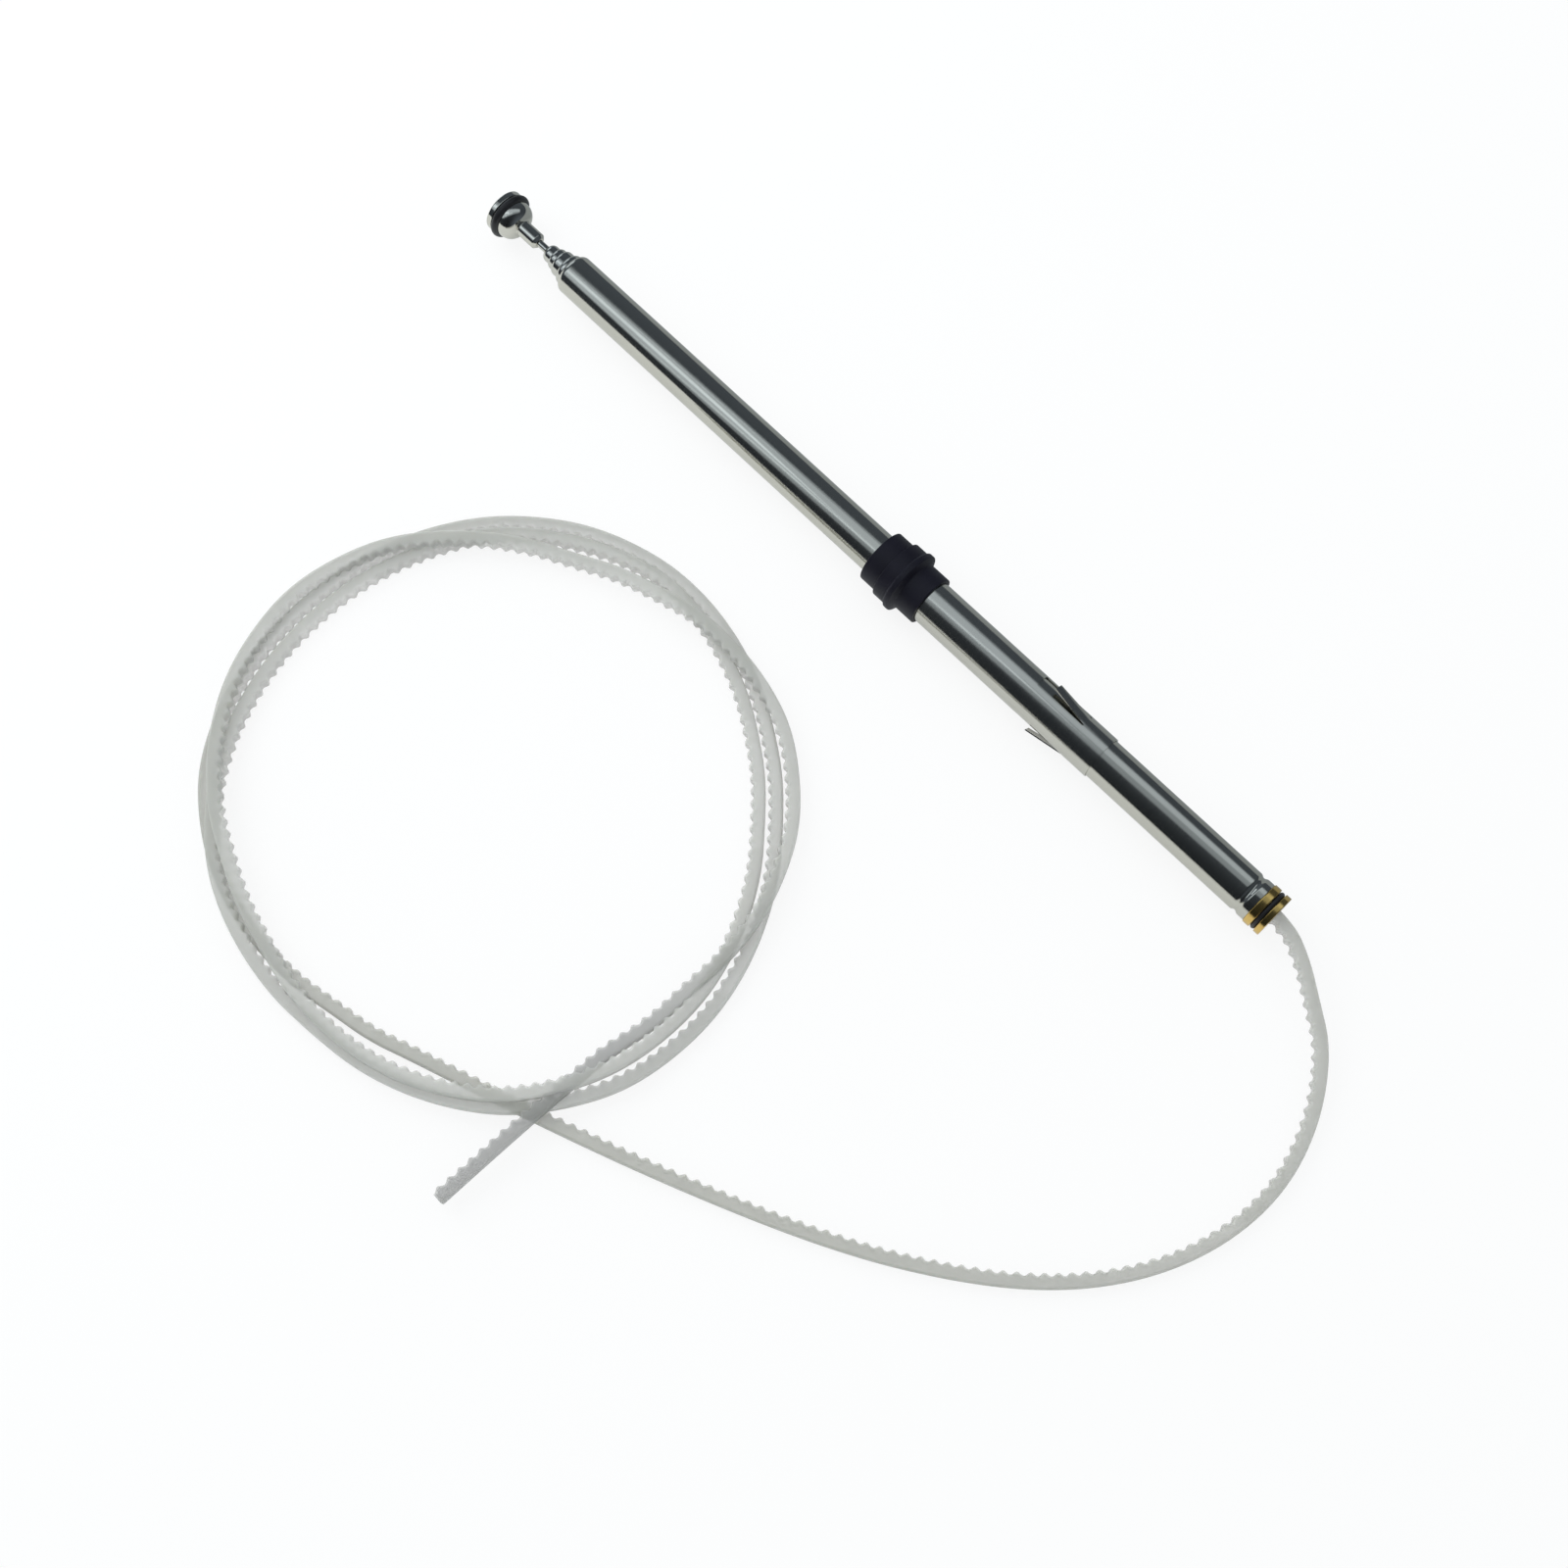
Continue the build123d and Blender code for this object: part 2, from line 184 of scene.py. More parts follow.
class Tree:
    """A node tree. node() adds one node from its type, its settings and what its sockets take."""

    def __init__(self, tree):
        self.tree = tree
        tree.nodes.clear()

    def node(self, kind, settings=None, sockets=None, output=0):
        made = self.tree.nodes.new(kind)
        for name, value in (settings or {}).items():
            setattr(made, name, value)
        for key, value in (sockets or {}).items():
            if isinstance(value, Wire):
                self.tree.links.new(value.socket, made.inputs[key])
            else:
                made.inputs[key].default_value = value
        return Wire(self, made.outputs[output]) if len(made.outputs) else None

    def stretched(self, scale):
        """Object coordinates, scaled apart along X, Y and Z."""
        place = self.node("ShaderNodeTexCoord", output="Object")
        return self.node("ShaderNodeMapping", {}, {"Vector": place, "Scale": scale})

    def noise(self, scale, detail=3.0):
        place = self.stretched(scale)
        return self.node("ShaderNodeTexNoise", {}, {"Vector": place, "Scale": 1.0, "Detail": detail})

    def mixed(self, share, first, second):
        """Colour between two colours."""
        settings = {"data_type": "RGBA"}
        return self.node("ShaderNodeMix", settings, {"Factor": share, 6: first, 7: second}, output=2)

    def bump(self, height, strength, distance):
        sockets = {"Height": height, "Strength": strength, "Distance": distance}
        return self.node("ShaderNodeBump", {}, sockets)

    def surface(self, sockets):
        shader = self.node("ShaderNodeBsdfPrincipled", {}, sockets)
        self.node("ShaderNodeOutputMaterial", {}, {"Surface": shader})


def new_finish(name):
    material = bpy.data.materials.new(name)
    material.use_nodes = True
    return material, Tree(material.node_tree)


def bright_plate(name, clean, dull, roughness):
    """Bright plate with fine polishing rings round the piece and a few faint marks along it."""
    material, tree = new_finish(name)
    rings = tree.noise((2600, 25, 25), 2.0)
    drawn = tree.noise((8, 1500, 1500), 2.0)
    clouds = tree.noise((60, 160, 160))
    tree.surface({
        "Base Color": tree.mixed(clouds, clean, dull),
        "Metallic": 1.0,
        "Roughness": roughness + 0.08 * (rings - 0.5) + 0.10 * (drawn - 0.5) + 0.06 * (clouds - 0.5),
        "Normal": tree.bump(rings + drawn, 0.05, 0.00002),
    })
    return material


tube_plate = bright_plate("tube_plate", (0.57, 0.555, 0.49, 1), (0.49, 0.475, 0.42, 1), 0.13)


def rolled_top(rim, radius, wall, hole, roll):
    """Outer and inner corners of a tube's top, rolled in on an arc to the size of what slides in it."""
    height = radius - roll
    lean = math.degrees(math.acos((hole - height) / (roll - wall)))
    start = rim - roll * math.sin(math.radians(lean))
    outer = arc((start, height), roll, 90, 90 - lean)
    inner = arc((start, height), roll - wall, 90 - lean, 90)
    outer[-1] = (*outer[-1][:2], ROLL_LIP)
    inner[0] = (*inner[0][:2], ROLL_LIP)
    return outer + inner


def crimp(middle, radius, first, last):
    """Corners of the groove that a crimping roller leaves, from one end to the other."""
    corners = []
    for step in range(CRIMP_STEPS + 1):
        station = first + (last - first) * step / CRIMP_STEPS
        dip = 0.5 + 0.5 * math.cos(math.tau * (station - middle) / CRIMP_WIDTH)
        corners.append((station, radius - CRIMP_DEPTH * dip, 0))
    return corners


base_foot, base_rim, base_radius = span("base_tube")
crimp_middle = base_foot + CRIMP_FROM_FOOT
crimp_ends = (crimp_middle - CRIMP_WIDTH / 2, crimp_middle + CRIMP_WIDTH / 2)
first_section_radius = span("section_1")[2]
base_tube = turned(
    "base_tube_plated",
    [
        (base_foot, base_radius - BASE_WALL, 0),
        (base_foot, base_radius, TUBE_EASE),
        *crimp(crimp_middle, base_radius, crimp_ends[0], crimp_ends[1]),
        *rolled_top(base_rim, base_radius, BASE_WALL, first_section_radius + SLIDE_GAP, BASE_ROLL),
        *crimp(crimp_middle, base_radius - BASE_WALL, crimp_ends[1], crimp_ends[0]),
    ],
    tube_plate,
)
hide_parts("base_tube")
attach(base_tube, "base")

# End plug
# A turned brass plug that closes the tube's foot and guides the drive cord. Two rims stand proud of the
# tube, with the groove for the seal ring between them, and the crimp holds its spigot.
PLUG_LOWER_RIM = 1.4
PLUG_GROOVE = 1.3
PLUG_EASE = 0.16
PLUG_GROOVE_RADIUS = 3.8
PLUG_BORE = 1.85
PLUG_BORE_EASE = 0.2


def turned_brass():
    """Brass with turning marks, browned a little where it isn't rubbed."""
    material, tree = new_finish("turned_brass")
    marks = tree.noise((3000, 60, 60), 2.0)
    tarnish = tree.noise((420, 420, 420), 4.0)
    tree.surface({
        "Base Color": tree.mixed(tarnish, (0.83, 0.60, 0.20, 1), (0.55, 0.34, 0.10, 1)),
        "Metallic": 1.0,
        "Roughness": 0.09 + 0.08 * marks + 0.08 * tarnish,
        "Normal": tree.bump(marks, 0.10, 0.00003),
    })
    return material


brass = turned_brass()
plug_foot, plug_top, plug_radius = span("base_plug")
groove_foot = plug_foot + PLUG_LOWER_RIM
groove_top = groove_foot + PLUG_GROOVE
spigot = base_radius - BASE_WALL - SLIDE_GAP
recess = spigot - CRIMP_DEPTH - SLIDE_GAP
base_plug = turned(
    "base_plug_turned",
    [
        (plug_foot, PLUG_BORE, PLUG_BORE_EASE),
        (plug_foot, plug_radius, PLUG_EASE),
        (groove_foot, plug_radius, PLUG_EASE),
        (groove_foot, PLUG_GROOVE_RADIUS, 0),
        (groove_top, PLUG_GROOVE_RADIUS, 0),
        (groove_top, plug_radius, PLUG_EASE),
        (base_foot, plug_radius, PLUG_EASE),
        (base_foot, spigot, 0),
        (crimp_ends[0] - SLIDE_GAP, spigot, 0),
        (crimp_ends[0] - SLIDE_GAP, recess, 0),
        (crimp_ends[1] + SLIDE_GAP, recess, 0),
        (crimp_ends[1] + SLIDE_GAP, spigot, 0),
        (plug_top, spigot, 0),
        (plug_top, PLUG_BORE, 0),
    ],
    brass,
)
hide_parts("base_plug")
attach(base_plug, "base")

# Seal ring of the end plug
# A moulded rubber ring of round section, stretched into the groove between the plug's rims. It seals the
# mast's foot where it stands in the drive unit.
RING_STEPS = 24


def black_rubber(name, colour, roughness):
    """Moulded black rubber with a faint bloom and a fine grain."""
    material, tree = new_finish(name)
    bloom = tree.noise((260, 260, 260), 5.0)
    grain = tree.noise((3200, 3200, 3200), 2.0)
    pale = tuple(2.2 * part for part in colour[:3]) + (1,)
    tree.surface({
        "Base Color": tree.mixed(bloom ** 2, colour, pale),
        "Roughness": roughness + 0.16 * (bloom - 0.5),
        "Specular IOR Level": 0.3,
        "Normal": tree.bump(grain, 0.12, 0.00004),
    })
    return material


def round_ring(node):
    """Closed circle of corners for a ring of round section, read from its node."""
    foot, top, radius = span(node)
    section = (top - foot) / 2
    return arc(((foot + top) / 2, radius - section), section, 0, 360 - 360 / RING_STEPS, RING_STEPS - 1)


ring_rubber = black_rubber("ring_rubber", (0.010, 0.010, 0.011, 1), 0.34)
base_ring = turned("base_ring_moulded", round_ring("base_seal_ring"), ring_rubber)
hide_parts("base_seal_ring")
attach(base_ring, "base")

# Sliding sections
# Four thin drawn tubes, one inside the other, each plated and rolled in at its top. The split brass bush
# on each foot touches the tube outside it, and stops at that tube's roll.
SECTION_WALL = 0.25
SECTION_ROLLS = (1.0, 1.0, 1.0, 1.4)

section_plate = bright_plate("section_plate", (0.57, 0.56, 0.51, 1), (0.49, 0.48, 0.435, 1), 0.12)
inner_radii = [span(f"section_{i}")[2] for i in (2, 3, 4)] + [span("tip_rod")[2]]
for i, inner_radius in enumerate(inner_radii):
    node = f"section_{i + 1}"
    foot, rim, radius = span(node)
    section = turned(
        f"{node}_plated",
        [
            (foot, radius - SECTION_WALL, 0),
            (foot, radius, 0),
            *rolled_top(rim, radius, SECTION_WALL, inner_radius + SLIDE_GAP, SECTION_ROLLS[i]),
        ],
        section_plate,
    )
    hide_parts(node)
    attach(section, f"mast_{i + 1}")
    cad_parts[f"{node}_bush"].material_slots[0].material = brass

# Tip rod
# The solid innermost section, plated like the tubes. Inside the mast it carries a stop bush, and a crimped
# brass ferrule joins it to the drive cord.
ROD_EASE = 0.1

rod_foot, rod_top, rod_radius = span("tip_rod")
rod = turned(
    "tip_rod_plated",
    [(rod_foot, 0, 0), (rod_foot, rod_radius, ROD_EASE), (rod_top, rod_radius, ROD_EASE), (rod_top, 0, 0)],
    section_plate,
)
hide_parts("tip_rod")
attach(rod, "tip")
for node in ("rod_stop_bush", "cord_ferrule"):
    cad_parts[node].material_slots[0].material = brass

# Tip button
# A turned and plated cap pressed on the rod. It has a chamfered neck, a rounded bell and a domed top, with
# the groove for its seal ring between bell and top.
NECK_RADIUS = 2.0
NECK_LENGTH = 5.75
NECK_CHAMFER = 0.7
NECK_EASES = (0.1, 0.12, 0.15)
BELL_RADIUS = 4.85
BELL_LENGTH = 3.55
BELL_BULGE = 0.85
BELL_STEPS = 16
TIP_GROOVE = 2.1
TIP_GROOVE_RADIUS = 3.75
CAP_RIM = 1.4
CAP_EASE = 0.2
DOME_SHARE = 0.93

button_foot, button_top, cap_radius = span("tip_button")
bell_foot = button_foot + NECK_LENGTH
tip_groove_foot = bell_foot + BELL_LENGTH
cap_foot = tip_groove_foot + TIP_GROOVE
dome_foot = cap_foot + CAP_RIM
dome = button_top - dome_foot
dome_ball = (cap_radius ** 2 + dome ** 2) / (2 * dome)
dome_lean = math.degrees(math.asin(cap_radius / dome_ball))


def bell():
    """Corners of the bell, swelling from the neck to the groove."""
    start = Vector((bell_foot, NECK_RADIUS))
    end = Vector((tip_groove_foot, BELL_RADIUS))
    swell = Vector((start.y - end.y, end.x - start.x)).normalized() * BELL_BULGE
    corners = []
    for step in range(1, BELL_STEPS + 1):
        share = step / BELL_STEPS
        point = start.lerp(end, share) + swell * 4 * share * (1 - share)
        corners.append((point.x, point.y, 0))
    return corners


button_plate = bright_plate("button_plate", (0.59, 0.575, 0.515, 1), (0.52, 0.505, 0.45, 1), 0.10)
button = turned(
    "tip_button_plated",
    [
        (button_foot, rod_radius, 0),
        (button_foot, NECK_RADIUS - NECK_CHAMFER, NECK_EASES[0]),
        (button_foot + NECK_CHAMFER, NECK_RADIUS, NECK_EASES[1]),
        (bell_foot, NECK_RADIUS, NECK_EASES[2]),
        *bell(),
        (tip_groove_foot, TIP_GROOVE_RADIUS, 0),
        (cap_foot, TIP_GROOVE_RADIUS, 0),
        (cap_foot, cap_radius, CAP_EASE),
        (dome_foot, cap_radius, CAP_EASE),
        *arc((button_top - dome_ball, 0), dome_ball, dome_lean * DOME_SHARE, 0),
        (rod_top, 0, 0),
        (rod_top, rod_radius, 0),
    ],
    button_plate,
)
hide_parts("tip_button")
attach(button, "tip")

# Seal ring of the tip button
# A moulded rubber ring, stretched into the groove under the cap. It closes the mouth of the aerial's
# housing when the mast is drawn in.
tip_ring = turned("tip_ring_moulded", round_ring("tip_seal_ring"), ring_rubber)
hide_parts("tip_seal_ring")
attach(tip_ring, "tip")

# Contact sleeve
# A thin sleeve of plated spring metal, rolled to a sliding fit on the base tube. Two spring fingers are
# lanced from its wall and bent out to touch the earthed housing.
MERGE = 1e-6

sleeve_plate = bright_plate("sleeve_plate", (0.57, 0.555, 0.495, 1), (0.48, 0.465, 0.415, 1), 0.15)


def smooth_copy(name, node, material):
    """Piece with the form of a CAD node, its triangles joined so that it shades smoothly."""
    form = bmesh.new()
    form.from_mesh(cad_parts[node].data)
    bmesh.ops.remove_doubles(form, verts=form.verts, dist=MERGE)
    mesh = bpy.data.meshes.new(name)
    form.to_mesh(mesh)
    form.free()
    if "custom_normal" in mesh.attributes:
        mesh.attributes.remove(mesh.attributes["custom_normal"])
    return as_piece(name, mesh, material)


sleeve = smooth_copy("contact_sleeve_plated", "contact_sleeve", sleeve_plate)
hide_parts("contact_sleeve")
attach(sleeve, "collar_sleeve")

# Rubber collar
# A moulded black collar pushed over the sleeve's top, with a skirt, a ridge, a step and a top that seal in
# the mouth of the aerial's housing.
COLLAR_SKIRT = 5.3
COLLAR_SKIRT_RADIUS = 6.225
COLLAR_RIDGE = 2.5
COLLAR_RIDGE_BEVEL = 0.8
COLLAR_STEP = 3.2
COLLAR_STEP_RADIUS = 7.35
COLLAR_TOP_RADIUS = 6.625
COLLAR_EASE = 0.2
COLLAR_FIT = 0.02
SLEEVE_WALL = 0.275

collar_foot, collar_top, ridge_radius = span("rubber_collar")
sleeve_top = span("contact_sleeve")[1]
sleeve_bore = base_radius + SLIDE_GAP
sleeve_seat = sleeve_bore + SLEEVE_WALL + COLLAR_FIT
ridge_foot = collar_foot + COLLAR_SKIRT
step_foot = ridge_foot + COLLAR_RIDGE
top_foot = step_foot + COLLAR_STEP
collar_rubber = black_rubber("collar_rubber", (0.0050, 0.0043, 0.0098, 1), 0.52)
collar = turned(
    "rubber_collar_moulded",
    [
        (collar_foot, sleeve_seat, 0),
        (collar_foot, COLLAR_SKIRT_RADIUS, COLLAR_EASE),
        (ridge_foot, COLLAR_SKIRT_RADIUS, COLLAR_EASE),
        (ridge_foot + COLLAR_RIDGE_BEVEL, ridge_radius, COLLAR_EASE),
        (step_foot - (ridge_radius - COLLAR_STEP_RADIUS), ridge_radius, COLLAR_EASE),
        (step_foot, COLLAR_STEP_RADIUS, COLLAR_EASE * 0.5),
        (top_foot, COLLAR_STEP_RADIUS, COLLAR_EASE),
        (top_foot, COLLAR_TOP_RADIUS, COLLAR_EASE * 0.5),
        (collar_top, COLLAR_TOP_RADIUS, COLLAR_EASE),
        (collar_top, sleeve_bore, COLLAR_EASE * 0.5),
        (sleeve_top, sleeve_bore, 0),
        (sleeve_top, sleeve_seat, 0),
    ],
    collar_rubber,
)
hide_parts("rubber_collar")
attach(collar, "collar_sleeve")

# Drive cord
# A stiff rack of milky nylon, moulded with rounded teeth along one side, which the drive unit's gear pushes
# and pulls. It leaves the plug, lies in one wide sweep and three loose turns, and is cut off square.
CORD_WIDTH = 0.00335
CORD_THICKNESS = 0.0032
CORD_FLOOR = 0.0016
TOOTH_PITCH = 0.00287
TOOTH_DEPTH = 0.00075
TOOTH_SLICES = 8
TOOTH_SHARPNESS = 1.2
CORD_EDGE = 0.00065
EDGE_POINTS = 3
LINE_STEPS = 20
# Stretch of the tail that is coloured yellower and darker; the yellow is the nylon's own, the darkening is
# painted shade.
TAIL_YELLOW_AND_SHADE = (0.04, 0.16, 0.28, 0.38)
# Length along the cord where the painted shade of the free end begins, and where it is full.
END_SHADE = (1.35, 1.40)
COIL_MIDDLE = Vector((0.0150, 0.0994))
COIL_START = 120
COIL_STEP = 20
RESTS_AFTER = 16
RAMP = 0.07

TAIL = (
    (-0.1195, 0, AXIS_HEIGHT),
    (-0.1260, 0, AXIS_HEIGHT),
    (-0.1330, 0.0032, 0.0073),
    (-0.1396, 0.0075, 0.0061),
    (-0.1490, 0.0135, 0.0038),
    (-0.1575, 0.0266, 0.0022),
    (-0.1614, 0.0420, CORD_FLOOR),
    (-0.1595, 0.0588, CORD_FLOOR),
    (-0.1525, 0.0748, CORD_FLOOR),
    (-0.1406, 0.0896, CORD_FLOOR),
    (-0.1238, 0.1029, CORD_FLOOR),
    (-0.1028, 0.1153, CORD_FLOOR),
    (-0.0714, 0.1292, CORD_FLOOR),
    (-0.0393, 0.1413, CORD_FLOOR),
)
TURN_RADII = (
    (
        58.0, 56.4, 58.7, 62.0, 64.7, 64.9, 64.6, 65.4, 66.4,
        66.4, 65.2, 62.9, 61.0, 61.1, 63.6, 66.6, 68.8, 68.2,
    ),
    (
        65.1, 62.2, 61.8, 62.0, 61.3, 60.7, 60.8, 61.8, 63.2,
        63.1, 62.4, 59.6, 57.4, 57.1, 59.6, 62.8, 65.2, 66.0,
    ),
    (
        63.6, 60.5, 57.8, 58.3, 61.6, 65.2, 67.7, 65.4, 61.0,
        58.0, 58.4, 61.4, 64.6, 64.9, 62.9, 60.0, 61.6,
    ),
)
FREE_END = (
    (-0.0429, 0.1230),
    (-0.0421, 0.1380),
    (-0.0413, 0.1525),
    (-0.0407, 0.1664),
)


def coil_turns():
    """Plan of the loose turns from their radii. A spline lies inside its points, so these stand out."""
    radii = [radius for turn in TURN_RADII for radius in turn]
    step = math.radians(COIL_STEP / 2)
    outward = MM / math.cos(step / 2)
    points = []
    for i in range(2 * len(radii) - 1):
        radius = (radii[i // 2] + radii[(i + 1) // 2]) / 2
        angle = math.radians(COIL_START) - step * i
        points.append(COIL_MIDDLE + Vector((math.cos(angle), math.sin(angle))) * radius * outward)
    return points


def settled(laid, plan):
    """Route of the cord: each point of the plan rests on whatever of the cord already lies beneath it."""
    route = [Vector(point) for point in laid]
    for point in plan:
        height = CORD_FLOOR
        for start, end in zip(route[:-RESTS_AFTER], route[1:]):
            run = end.xy - start.xy
            share = max(0, min(1, (point - start.xy).dot(run) / run.length_squared))
            gap = (start.xy + run * share - point).length / CORD_WIDTH
            if gap < 1:
                beneath = start.z + (end.z - start.z) * share
                height = max(height, beneath + CORD_THICKNESS * math.sqrt(1 - gap ** 2))
        fallen = route[-1].z - RAMP * (point - route[-1].xy).length
        route.append(Vector((*point, max(height, fallen))))
    for i in range(len(route) - 2, len(laid) - 1, -1):
        risen = route[i + 1].z - RAMP * (route[i + 1].xy - route[i].xy).length
        route[i].z = max(route[i].z, risen)
    return route


def cord_line(route):
    """Points of the smooth line that the cord follows, with the route as its control points."""
    curve = bpy.data.curves.new("cord_line", "CURVE")
    curve.dimensions = "3D"
    spline = curve.splines.new("NURBS")
    spline.points.add(len(route) - 1)
    for point, place in zip(spline.points, route):
        point.co = (*place, 1)
    spline.order_u = 3
    spline.use_endpoint_u = True
    spline.resolution_u = LINE_STEPS
    holder = bpy.data.objects.new("cord_line", curve)
    bpy.context.scene.collection.objects.link(holder)
    graph = bpy.context.evaluated_depsgraph_get()
    line = bpy.data.meshes.new_from_object(holder.evaluated_get(graph))
    bpy.data.objects.remove(holder)
    return line


def milky_nylon():
    """Milky nylon, clearer at the teeth; its tail is yellower and darker with painted shade, and its free end
    greyer with painted shade.
    """
    material, tree = new_finish("milky_nylon")
    toothed = tree.node("ShaderNodeAttribute", {"attribute_name": "toothed_side"}, output="Fac")
    facing = tree.node("ShaderNodeTexCoord", output="Normal")
    level = tree.node("ShaderNodeSeparateXYZ", {}, {"Vector": facing}, output="Z")
    steep = 1 - level.maths("ABSOLUTE", level)
    clouds = tree.noise((35, 35, 35), 4.0)
    flecks = tree.noise((900, 900, 900), 3.0)
    along = tree.node("ShaderNodeAttribute", {"attribute_name": "along"}, output="Fac")

    def grows(first, last):
        """Share that grows from none at one length along the cord to all at another."""
        return tree.node("ShaderNodeMapRange", {}, {"Value": along, "From Min": first, "From Max": last})

    # Share of the tail's colour: its own yellow tint, together with painted shade that darkens it.
    yellowed_and_shaded = (0.3 + 0.7 * grows(TAIL_YELLOW_AND_SHADE[0], TAIL_YELLOW_AND_SHADE[1])) * grows(TAIL_YELLOW_AND_SHADE[3], TAIL_YELLOW_AND_SHADE[2])
    # Painted shade: the cord is coloured greyer and darker from here to its free end.
    painted_end_shade = grows(END_SHADE[0], END_SHADE[1])
    milk = tree.mixed(clouds, (0.575, 0.56, 0.515, 1), (0.53, 0.515, 0.47, 1))
    # Yellower and darker tail colour: the nylon's own yellow, with painted shade.
    milk = tree.mixed(yellowed_and_shaded, milk, (0.43, 0.42, 0.36, 1))
    # Greyer, darker colour at the free end is painted shade.
    milk = tree.mixed(painted_end_shade, milk, (0.355, 0.345, 0.325, 1))
    tree.surface({
        "Base Color": milk,
        "Roughness": 0.38 + 0.14 * (flecks - 0.5),
        "Alpha": 0.56 + steep * (0.12 - 0.42 * toothed),
        "Subsurface Weight": 0.8,
        "Subsurface Radius": (0.0025, 0.0026, 0.0024),
        "Subsurface Scale": 1.0,
        "Specular IOR Level": 0.35,
        "Normal": tree.bump(flecks, 0.10, 0.00005),
    })
    return material


def toothed_cord_tree():
    """Node tree that sweeps the cord's section along its line and swells one side of it into teeth."""
    group = bpy.data.node_groups.new("toothed_cord", "GeometryNodeTree")
    sizes = ("Body width", "Thickness", "Edge radius", "Tooth pitch", "Tooth depth", "Slice")
    group.interface.new_socket("Line", in_out="INPUT", socket_type="NodeSocketGeometry")
    for size in sizes:
        group.interface.new_socket(size, in_out="INPUT", socket_type="NodeSocketFloat")
    group.interface.new_socket("Finish", in_out="INPUT", socket_type="NodeSocketMaterial")
    group.interface.new_socket("Cord", in_out="OUTPUT", socket_type="NodeSocketGeometry")
    tree = Tree(group)
    given = tree.node("NodeGroupInput", output="Line")

    def keep(geometry, name, kind, value):
        settings = {"data_type": kind, "domain": "POINT"}
        sockets = {"Geometry": geometry, "Name": name, "Value": value}
        return tree.node("GeometryNodeStoreNamedAttribute", settings, sockets)

    def kept(name, kind):
        return tree.node("GeometryNodeInputNamedAttribute", {"data_type": kind}, {"Name": name})

    line = tree.node("GeometryNodeMeshToCurve", {}, {"Mesh": given})
    slices = {"Curve": line, "Length": given.out("Slice")}
    line = tree.node("GeometryNodeResampleCurve", {"mode": "LENGTH"}, slices)
    line = tree.node("GeometryNodeSetCurveNormal", {"mode": "Z_UP"}, {"Curve": line})
    line = keep(line, "along", "FLOAT", tree.node("GeometryNodeSplineParameter", output="Length"))
    line = keep(line, "toothed_way", "FLOAT_VECTOR", tree.node("GeometryNodeInputNormal"))
    outline = tree.node(
        "GeometryNodeCurvePrimitiveQuadrilateral",
        {},
        {"Width": given.out("Body width"), "Height": given.out("Thickness")},
    )
    outline = tree.node(
        "GeometryNodeFilletCurve",
        {"mode": "POLY"},
        {"Curve": outline, "Count": EDGE_POINTS, "Radius": given.out("Edge radius")},
    )
    across = tree.node("ShaderNodeSeparateXYZ", {}, {"Vector": tree.node("GeometryNodeInputPosition")})
    outline = keep(outline, "toothed_side", "FLOAT", across.maths("GREATER_THAN", across, 0.0))
    sweep = {"Curve": line, "Profile Curve": outline, "Fill Caps": True}
    swept = tree.node("GeometryNodeCurveToMesh", {}, sweep)
    turn = kept("along", "FLOAT") / given.out("Tooth pitch") * math.tau
    wave = (0.5 + 0.5 * turn.maths("COSINE", turn)) ** TOOTH_SHARPNESS
    swell = given.out("Tooth depth") * (wave * kept("toothed_side", "FLOAT") - 0.5)
    outward = kept("toothed_way", "FLOAT_VECTOR")
    offset = tree.node("ShaderNodeVectorMath", {"operation": "SCALE"}, {0: outward, "Scale": swell})
    cord = tree.node("GeometryNodeSetPosition", {}, {"Geometry": swept, "Offset": offset})
    cord = tree.node("GeometryNodeRealizeInstances", {}, {"Geometry": cord})
    cord = tree.node("GeometryNodeSetMaterial", {}, {"Geometry": cord, "Material": given.out("Finish")})
    tree.node("NodeGroupOutput", {}, {"Cord": cord})
    return group


def plain_mesh(holder, group, inputs):
    """Mesh that a node tree makes on an object, with the tree's named inputs set."""
    modifier = holder.modifiers.new("tree", "NODES")
    modifier.node_group = group
    for item in group.interface.items_tree:
        if item.in_out == "INPUT" and item.name in inputs:
            modifier[item.identifier] = inputs[item.name]
    graph = bpy.context.evaluated_depsgraph_get()
    mesh = bpy.data.meshes.new_from_object(holder.evaluated_get(graph))
    holder.modifiers.remove(modifier)
    bpy.data.objects.remove(holder)
    return mesh


nylon = milky_nylon()
route = settled(TAIL, coil_turns() + [Vector(point) for point in FREE_END])
line = cord_line(route)
cord_sizes = {
    "Body width": CORD_WIDTH - TOOTH_DEPTH,
    "Thickness": CORD_THICKNESS,
    "Edge radius": CORD_EDGE,
    "Tooth pitch": TOOTH_PITCH,
    "Tooth depth": TOOTH_DEPTH,
    "Slice": TOOTH_PITCH / TOOTH_SLICES,
    "Finish": nylon,
}
line_holder = bpy.data.objects.new("cord_line", line)
bpy.context.scene.collection.objects.link(line_holder)
cord = as_piece("drive_cord_toothed", plain_mesh(line_holder, toothed_cord_tree(), cord_sizes), nylon)
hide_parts("drive_cord_tail", "drive_cord_coil", "drive_cord_end")
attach(cord, "base")
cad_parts["drive_cord_inner"].material_slots[0].material = nylon

# Studio
# A plain white table in a dim room, under a long soft light overhead that is brighter towards the tip. A low
# card behind lights the rolled rims, and a soft fill that the metal doesn't show lights rubber and nylon.
FLOOR_SIZE = 8.0
FLOOR_WHITE = (0.93, 0.925, 0.90, 1)
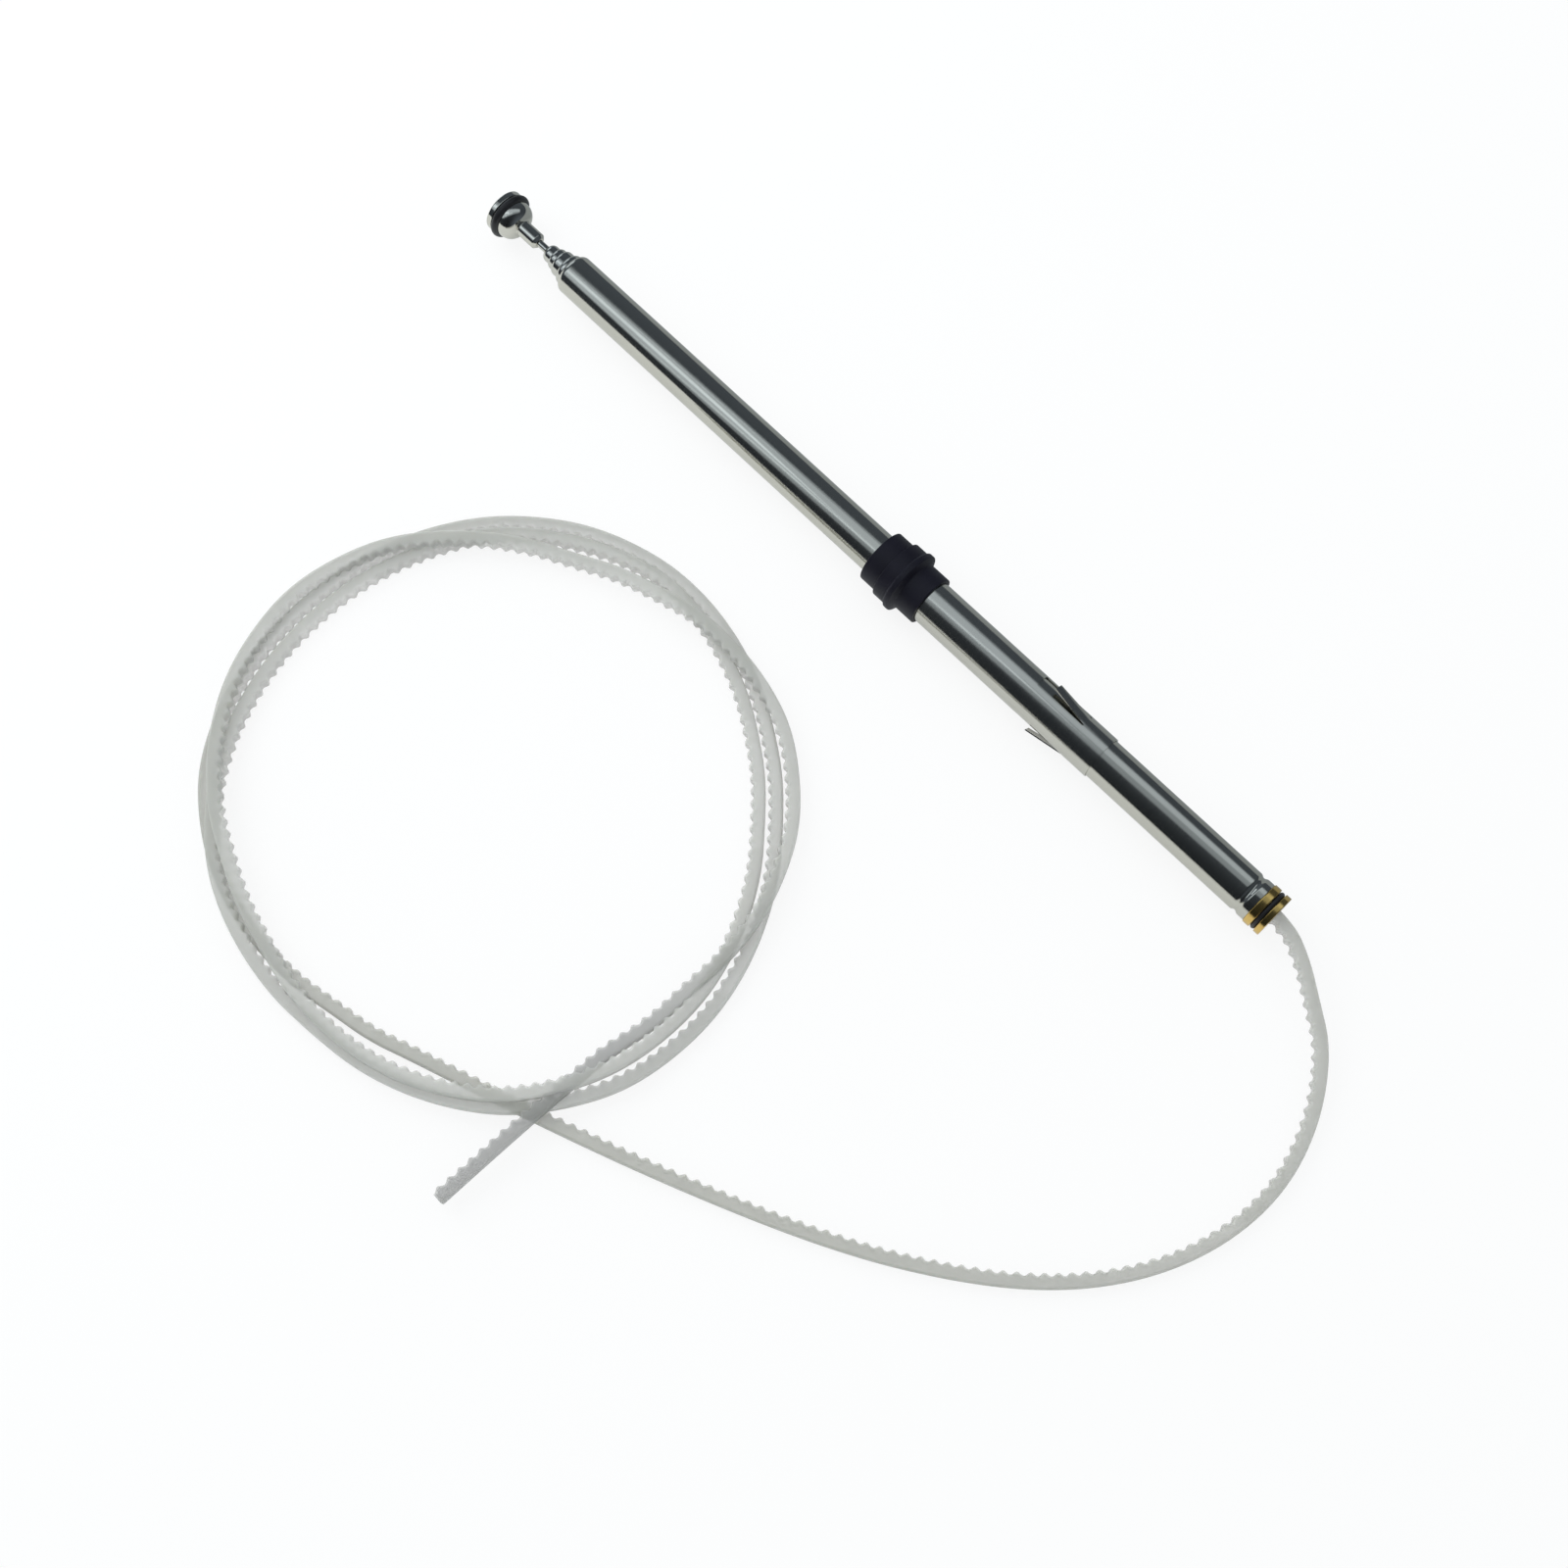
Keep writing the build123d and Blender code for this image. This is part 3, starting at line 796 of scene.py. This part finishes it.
# Colour of the painted shadow that the metal shows on the table's far side.
FLOOR_PAINTED_SHADOW = (0.36, 0.37, 0.37, 1)
FLOOR_GLOW = 0.85
IN_METAL = 0.25
FAR_SIDE = -0.012
DAYLIGHT = (0.84, 0.95, 1.06)
WARM = (1.0, 0.98, 0.93)
ROOM_LIGHT = 0.72
ROOM_AWAY = 0.12
ROOM_NEAR = 0.010
ROOM_ENDS = 0.15
STRIP_TURN = 14
CAMERA_HEADING = math.radians(-134.63)
CAMERA_TILT = math.radians(18)
CAMERA_DISTANCE = 0.463
CAMERA_AIM = Vector((-0.0279, 0.0534, AXIS_HEIGHT))
CAMERA_LENS = 48.94
SENSOR = 36

floor_finish, tree = new_finish("table_white")
light_path = tree.node("ShaderNodeLightPath", output="Is Camera Ray")
in_metal = light_path.out("Is Glossy Ray") + light_path.out("Is Transmission Ray")
place = tree.node("ShaderNodeTexCoord", output="Object")
aside = tree.node("ShaderNodeSeparateXYZ", {}, {"Vector": place}, output="Y")
# Seen in the metal, the table on the mast's far side is darkened: a painted shadow, not one that a lamp
# casts.
far_side = tree.node("ShaderNodeMapRange", {}, {"Value": aside, "From Min": 0.0, "From Max": FAR_SIDE})
shade = in_metal * far_side
seen = light_path + IN_METAL * (in_metal - shade)
lit = tree.node("ShaderNodeBsdfDiffuse", {}, {"Color": FLOOR_WHITE})
painted_shadow = tree.node("ShaderNodeBsdfDiffuse", {}, {"Color": FLOOR_PAINTED_SHADOW})
paper = tree.node("ShaderNodeMixShader", {}, {"Fac": shade, 1: lit, 2: painted_shadow})
glow = tree.node("ShaderNodeEmission", {}, {"Color": (1, 1, 1, 1), "Strength": 1.0})
shown = tree.node("ShaderNodeMixShader", {}, {"Fac": seen * FLOOR_GLOW, 1: paper, 2: glow})
tree.node("ShaderNodeOutputMaterial", {}, {"Surface": shown})
bpy.ops.mesh.primitive_plane_add(size=FLOOR_SIZE)
floor = bpy.context.object
floor.name = "table"
floor.data.materials.append(floor_finish)

studio = Matrix.Translation(CAMERA_AIM) @ Matrix.Rotation(CAMERA_HEADING, 4, "Z")


def soft_light(name, middle, size, radiance, lean=0, roll=0, turn=STRIP_TURN, colour=DAYLIGHT):
    """Rectangular soft light, placed as the camera sees the table (right, away, up) and turned in degrees."""
    lamp = bpy.data.lights.new(name, "AREA")
    lamp.shape = "RECTANGLE"
    lamp.size, lamp.size_y = size
    lamp.energy = radiance * math.pi * size[0] * size[1]
    lamp.color = colour
    holder = bpy.data.objects.new(name, lamp)
    holder.matrix_world = studio @ Matrix.Translation(middle)
    for angle, axis in ((turn, "Z"), (roll, "Y"), (lean, "X")):
        holder.matrix_world = holder.matrix_world @ Matrix.Rotation(math.radians(angle), 4, axis)
    bpy.context.scene.collection.objects.link(holder)
    return holder


soft_light("overhead_core", middle=(-0.14, 0.185, 0.600), size=(1.50, 0.20), radiance=0.30)
soft_light("overhead_left", middle=(-0.450, 0.095, 0.600), size=(0.89, 0.25), radiance=0.78)
soft_light("overhead_crest", middle=(-0.610, 0.140, 0.598), size=(0.78, 0.10), radiance=0.62, turn=0)
soft_light("overhead_flank", middle=(-0.185, 0.140, 0.605), size=(1.80, 0.42), radiance=0.34)
soft_light("back_card", middle=(-0.40, 0.70, 0.30), size=(0.50, 0.50), radiance=0.80, lean=-80, turn=30)
fill = soft_light(
    "back_fill", middle=(-0.55, 0.50, 0.65), size=(0.60, 0.60), radiance=2.2,
    lean=-38, roll=-40, turn=0, colour=WARM,
)
fill.visible_glossy = False

world = bpy.data.worlds.new("dim_room")
bpy.context.scene.world = world
world.use_nodes = True
room = Tree(world.node_tree)
in_metal = room.node("ShaderNodeLightPath", output="Is Glossy Ray")
behind = in_metal.out("Is Camera Ray")
away = studio.to_3x3() @ Vector((0, 1, 0))
towards = room.node("ShaderNodeTexCoord", output="Generated")
dot = {"operation": "DOT_PRODUCT"}
facing = room.node("ShaderNodeVectorMath", dot, {0: towards, 1: away}, output="Value")
along = room.node("ShaderNodeSeparateXYZ", {}, {"Vector": towards}, output="X")
dim = ROOM_NEAR + (ROOM_AWAY - ROOM_NEAR) * (0.5 + 0.5 * facing) + ROOM_ENDS * along ** 4
strength = ROOM_LIGHT + (dim - ROOM_LIGHT) * in_metal + (1 - ROOM_LIGHT) * behind
air_colour = room.mixed(in_metal, (0.88, 0.95, 1, 1), (0.68, 0.82, 1.02, 1))
air_colour = room.mixed(behind, air_colour, (1, 1, 1, 1))
air = room.node("ShaderNodeBackground", {}, {"Color": air_colour, "Strength": strength})
room.node("ShaderNodeOutputWorld", {}, {"Surface": air})

camera_data = bpy.data.cameras.new("camera")
camera_data.sensor_fit = "HORIZONTAL"
camera_data.sensor_width = SENSOR
camera_data.lens = CAMERA_LENS
camera = bpy.data.objects.new("camera", camera_data)
camera_tilted = studio @ Matrix.Rotation(CAMERA_TILT, 4, "X")
camera.matrix_world = camera_tilted @ Matrix.Translation((0, 0, CAMERA_DISTANCE))
bpy.context.scene.collection.objects.link(camera)
bpy.context.scene.camera = camera
bpy.context.scene.view_settings.view_transform = "Standard"
